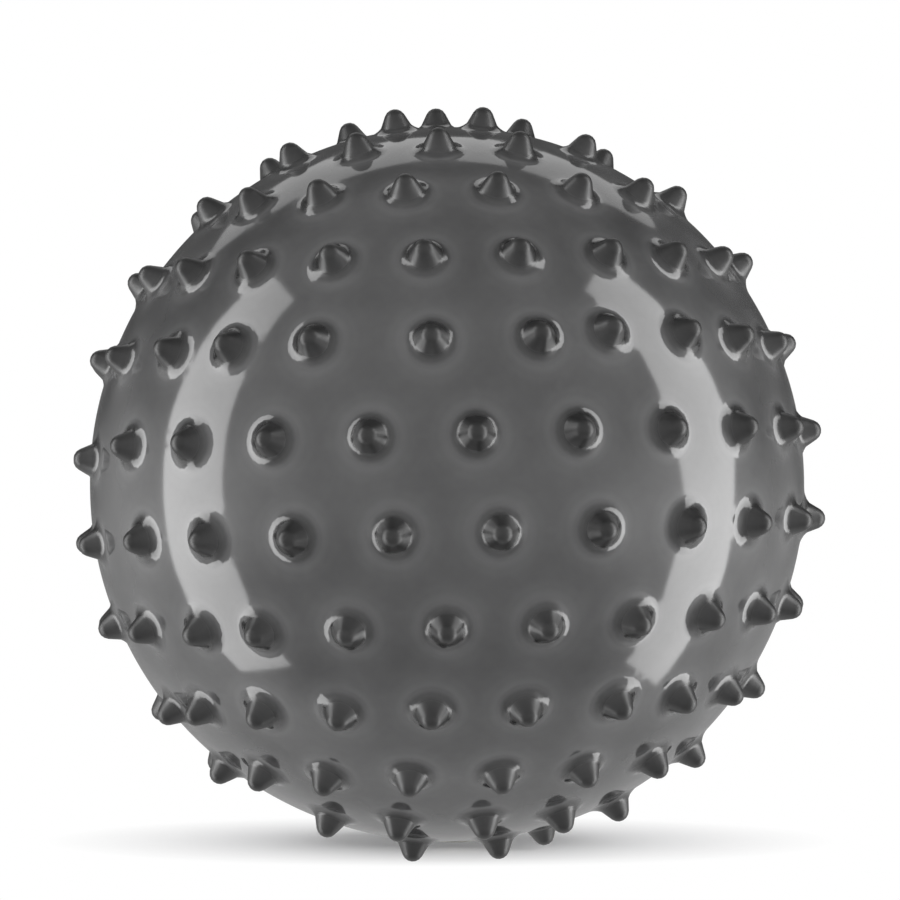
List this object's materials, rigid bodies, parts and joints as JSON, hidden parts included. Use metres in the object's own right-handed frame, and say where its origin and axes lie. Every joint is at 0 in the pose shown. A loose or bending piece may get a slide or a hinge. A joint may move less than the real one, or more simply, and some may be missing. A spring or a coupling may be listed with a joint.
{
  "type": "sensory ball",
  "caption": "Inflatable soft vinyl ball covered in rows of short pointed nubs, closed by a pull-out plug in a soft sleeve.",
  "frame": {"origin": "centre of the ball, which is the centre of the skin's sphere and its centroid", "axes": "+Z from the valve through the centre to the nub at the top, the axis that the rows of nubs run round; -Y towards the front, as pictured; +X to the right as seen from the front"},
  "size_m": [0.1985, 0.198, 0.1972],
  "materials": {
    "skin": "glossy soft vinyl, mid gray",
    "sleeve": "satin soft vinyl, gray",
    "plug": "milky natural plastic"
  },
  "bodies": {
    "ball": {"ball_skin": "skin", "valve_sleeve": "sleeve"},
    "plug": {"valve_plug": "plug"}
  },
  "joints": [
    {"name": "plug_pull", "type": "slide", "parent": "ball", "child": "plug", "axis": [0, 0, -1], "range_m": [0, 0.02]}
  ]
}
